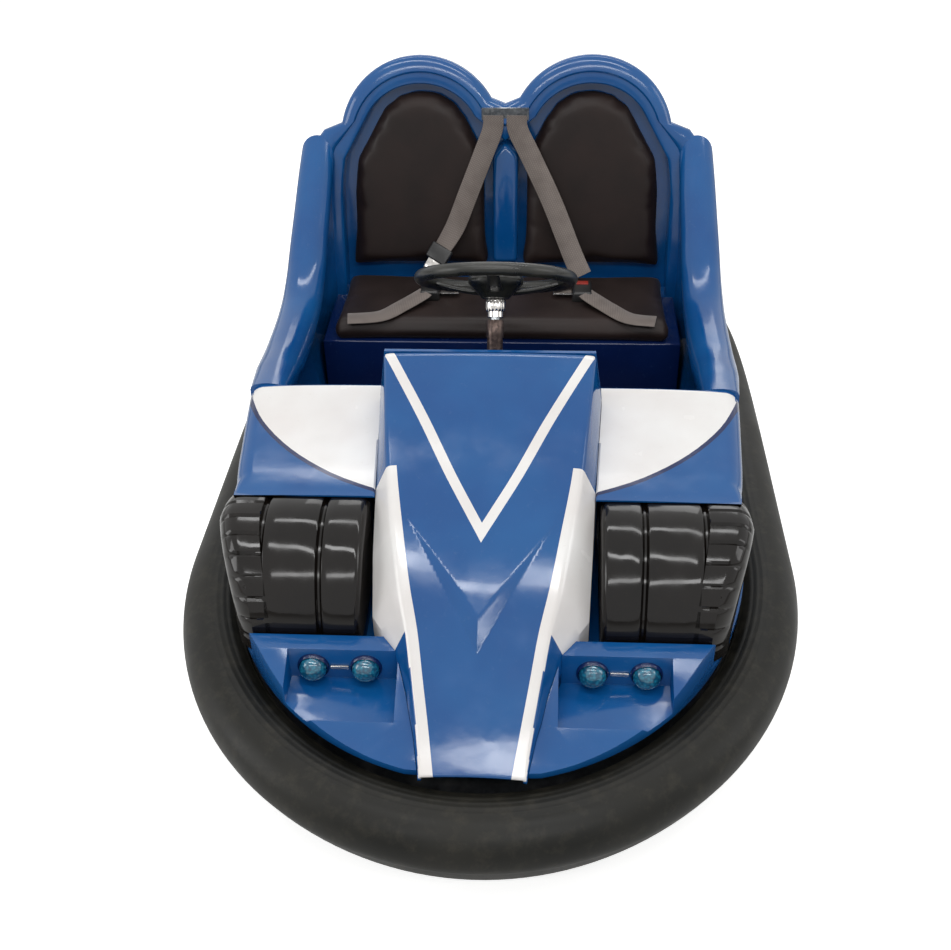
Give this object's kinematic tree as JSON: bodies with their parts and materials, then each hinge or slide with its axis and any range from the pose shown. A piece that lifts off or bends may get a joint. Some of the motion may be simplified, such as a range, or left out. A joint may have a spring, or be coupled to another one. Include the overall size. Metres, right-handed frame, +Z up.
{
  "type": "bumper car",
  "caption": "Two-seat fairground bumper car: blue and white moulded body on a steel pan, wide rubber bumper ring, bench seat, belts, steered drive wheel in front",
  "frame": {"origin": "on the floor under the middle of the bumper ring", "axes": "+Z up, -Y to the front of the car, +X to the left of a driver who faces the front"},
  "size_m": [1.2, 1.95, 0.9049],
  "materials": {
    "blue_gelcoat": "gloss gelcoat",
    "white_gelcoat": "gloss gelcoat",
    "black_gelcoat": "gloss gelcoat",
    "ring_rubber": "matt moulded rubber",
    "tyre_rubber": "matt",
    "frame_steel": "satin black paint",
    "zinc_steel": "zinc plated",
    "cushion_vinyl": "grained vinyl",
    "belt_webbing": "woven webbing",
    "wheel_urethane": "satin moulded urethane",
    "lamp_lens": "tinted clear",
    "battery_case": "matt",
    "motor_paint": "satin",
    "black_plastic": "satin"
  },
  "bodies": {
    "car_body": {"nose_hood": "blue_gelcoat", "lamp_pod_left": "blue_gelcoat", "lamp_pod_right": "blue_gelcoat", "toe_board_left": "blue_gelcoat", "toe_board_right": "blue_gelcoat", "side_wall_left": "blue_gelcoat", "side_wall_right": "blue_gelcoat", "rear_shell": "blue_gelcoat", "seat_spine": "blue_gelcoat", "seat_base": "blue_gelcoat", "dash_panel": "blue_gelcoat", "cowl_left": "white_gelcoat", "cowl_right": "white_gelcoat", "faux_tyre_left": "black_gelcoat", "faux_tyre_right": "black_gelcoat", "bumper_ring": "ring_rubber", "floor_pan": "frame_steel", "chassis_frame": "frame_steel", "bumper_rail": "frame_steel", "column_bracket": "frame_steel", "pedal_bracket": "frame_steel", "drive_bridge": "frame_steel", "rear_fork_left": "frame_steel", "rear_fork_right": "frame_steel", "steering_column": "zinc_steel", "belt_anchor": "zinc_steel", "seat_cushion": "cushion_vinyl", "back_cushion_left": "cushion_vinyl", "back_cushion_right": "cushion_vinyl", "shoulder_belt_left": "belt_webbing", "shoulder_belt_right": "belt_webbing", "lap_belt_left": "belt_webbing", "lap_belt_right": "belt_webbing", "belt_buckle_left": "black_plastic", "belt_buckle_right": "black_plastic", "accelerator_pedal": "black_plastic", "battery_pack": "battery_case", "headlamp_left_inner": "lamp_lens", "headlamp_left_outer": "lamp_lens", "headlamp_right_inner": "lamp_lens", "headlamp_right_outer": "lamp_lens"},
    "steering_wheel": {"steering_rim": "wheel_urethane", "steering_pad": "wheel_urethane", "steering_shaft": "zinc_steel"},
    "drive_unit": {"drive_fork": "frame_steel", "drive_motor": "motor_paint", "chain_case": "motor_paint"},
    "drive_wheel": {"drive_tyre": "tyre_rubber", "drive_hub": "zinc_steel"},
    "rear_wheel_left": {"rear_tyre_left": "tyre_rubber", "rear_hub_left": "zinc_steel"},
    "rear_wheel_right": {"rear_tyre_right": "tyre_rubber", "rear_hub_right": "zinc_steel"}
  },
  "joints": [
    {"name": "drive_steer", "type": "hinge", "parent": "car_body", "child": "drive_unit", "pos_m": [0, -0.48, 0.17], "axis": [0, 0, 1], "continuous": true},
    {"name": "steering_wheel_turn", "type": "hinge", "parent": "car_body", "child": "steering_wheel", "pos_m": [0, 0.109, 0.638], "axis": [0, 0.5736, 0.8192], "continuous": true},
    {"name": "drive_spin", "type": "hinge", "parent": "drive_unit", "child": "drive_wheel", "pos_m": [0, -0.48, 0.1], "axis": [1, 0, 0], "continuous": true},
    {"name": "rear_spin_left", "type": "hinge", "parent": "car_body", "child": "rear_wheel_left", "pos_m": [0.32, 0.48, 0.07], "axis": [1, 0, 0], "continuous": true},
    {"name": "rear_spin_right", "type": "hinge", "parent": "car_body", "child": "rear_wheel_right", "pos_m": [-0.32, 0.48, 0.07], "axis": [1, 0, 0], "continuous": true}
  ],
  "couplings": [
    {"joint": "steering_wheel_turn", "follows": "drive_steer", "ratio": 1}
  ]
}
